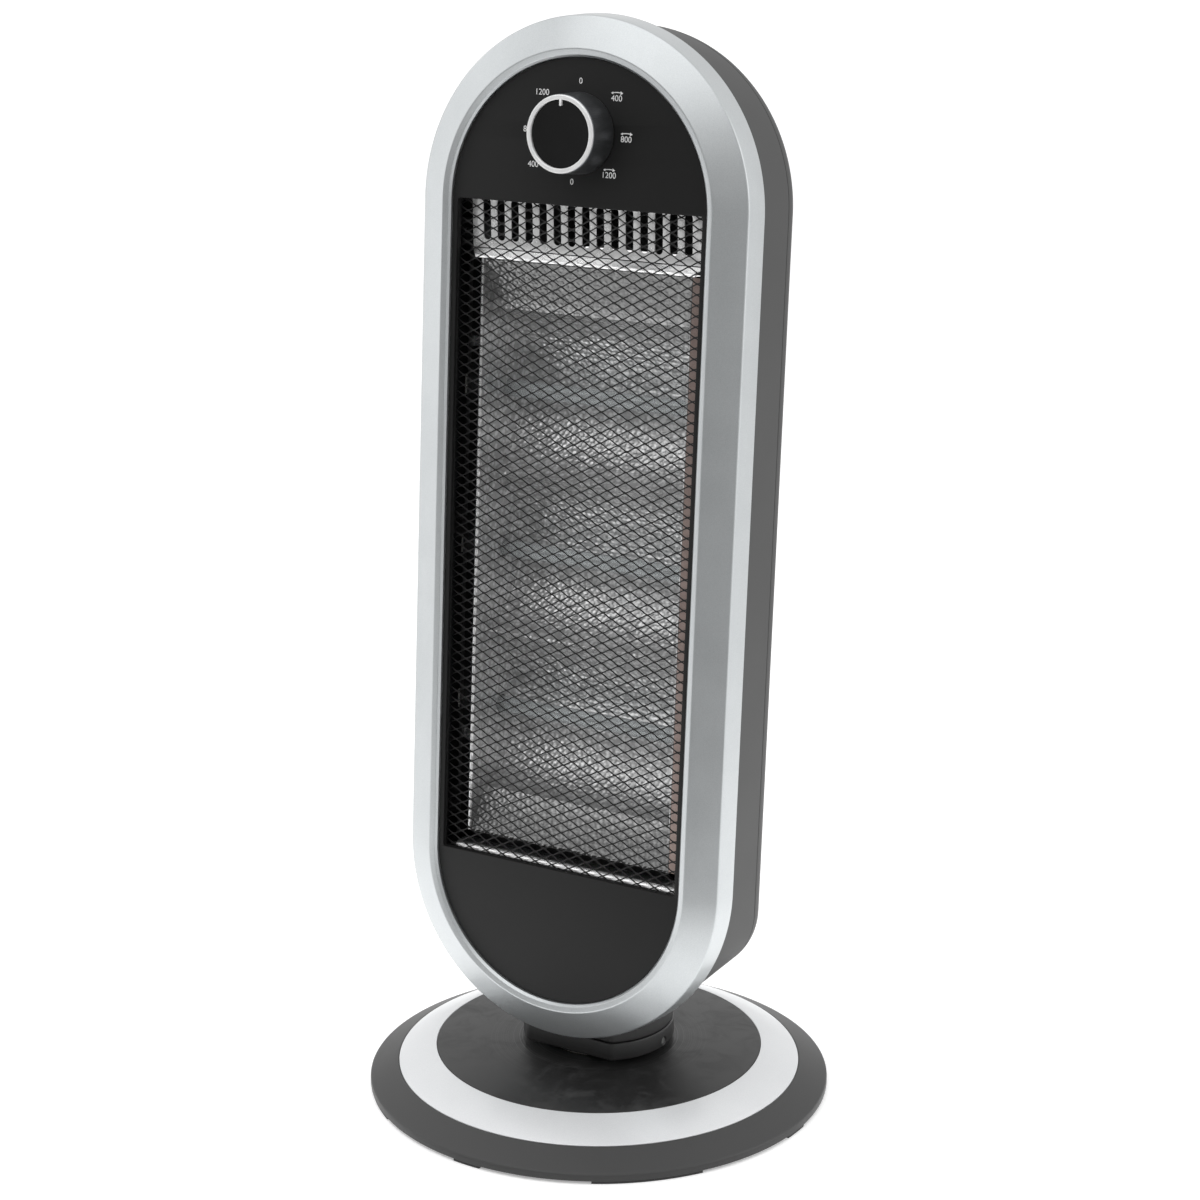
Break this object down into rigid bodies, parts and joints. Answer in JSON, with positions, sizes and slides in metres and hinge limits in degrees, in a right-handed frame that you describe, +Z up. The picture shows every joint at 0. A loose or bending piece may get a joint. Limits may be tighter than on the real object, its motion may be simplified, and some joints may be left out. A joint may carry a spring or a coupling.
{
  "type": "oscillating halogen heater",
  "caption": "Upright round-ended halogen heater with a guarded reflector and a dial, swinging on a weighted round base.",
  "frame": {"origin": "on the swing axis, at the middle of the base, on the floor under the foot pads", "axes": "+Z up along the swing axis, -Y towards the heating front, +X to the right for someone who faces that front"},
  "size_m": [0.28, 0.28, 0.641],
  "materials": {
    "charcoal_plastic": "fine matt grain, charcoal",
    "black_plastic": "satin black moulding",
    "black_disc": "matt black, slightly mottled",
    "fascia_black": "satin black panel",
    "black_gloss": "high gloss black",
    "housing_grey": "matt dark grey, fine grain",
    "silver_paint": "metallic silver paint, satin",
    "silver_knob": "satin metallic grey",
    "bright_trim": "bright turned ring",
    "steel": "zinc-plated",
    "guard_black": "black enamel, fine grain",
    "bright_aluminium": "hammered bright sheet",
    "rail_black": "black enamel",
    "weight_iron": "bare plate",
    "rubber": "matt",
    "nylon": "natural nylon",
    "quartz": "clear quartz",
    "tungsten": "drawn wire",
    "ceramic": "unglazed off-white"
  },
  "bodies": {
    "base": {"base_cover": "charcoal_plastic", "base_ring": "silver_paint", "base_disc": "black_disc", "bottom_plate": "black_plastic", "foot_pads": "rubber", "base_screws": "steel", "base_weight": "weight_iron", "weight_screws": "steel", "cord_inlet": "rubber", "swing_motor": "steel", "motor_screws": "steel", "tip_switch": "black_plastic", "hub_bush": "nylon", "slide_washer": "black_plastic"},
    "crank": {"crank": "nylon"},
    "plunger": {"plunger": "nylon", "plunger_spring": "steel"},
    "knob": {"knob": "silver_knob", "knob_ring": "bright_trim", "knob_insert": "black_gloss", "knob_shaft": "steel"},
    "head": {"swing_hub": "charcoal_plastic", "swing_lever": "steel", "lever_screws": "steel", "neck_collar": "black_plastic", "collar_screws": "steel", "side_shell": "housing_grey", "rear_cover": "housing_grey", "rear_screws": "steel", "bezel": "silver_paint", "fascia": "fascia_black", "guard": "guard_black", "reflector": "bright_aluminium", "reflector_ends": "bright_aluminium", "side_rail_left": "rail_black", "side_rail_right": "rail_black", "lamp_top": "quartz", "lamp_middle": "quartz", "lamp_bottom": "quartz", "filaments": "tungsten", "lamp_caps": "ceramic", "lamp_clips": "steel", "thermal_cutout": "steel", "terminal_block": "nylon", "rotary_switch": "black_plastic", "switch_nut": "steel"}
  },
  "joints": [
    {"name": "head_swing", "type": "hinge", "parent": "base", "child": "head", "pos_m": [0, 0, 0.0276], "axis": [0, 0, 1], "range_deg": [-35, 35]},
    {"name": "crank_turn", "type": "hinge", "parent": "base", "child": "crank", "pos_m": [0, 0.022, 0.0158], "axis": [0, 0, 1], "range_deg": [-105, 105]},
    {"name": "knob_turn", "type": "hinge", "parent": "head", "child": "knob", "pos_m": [0, -0.02086, 0.57733], "axis": [0, -0.9978, 0.0664], "continuous": true},
    {"name": "plunger_slide", "type": "slide", "parent": "base", "child": "plunger", "axis": [0, 0, 1], "range_m": [-0.004, 0], "stiffness_N_per_m": 150, "springref_m": -0.004, "deforming": ["plunger_spring"]}
  ],
  "couplings": [
    {"joint": "crank_turn", "follows": "head_swing", "ratio": 3}
  ]
}
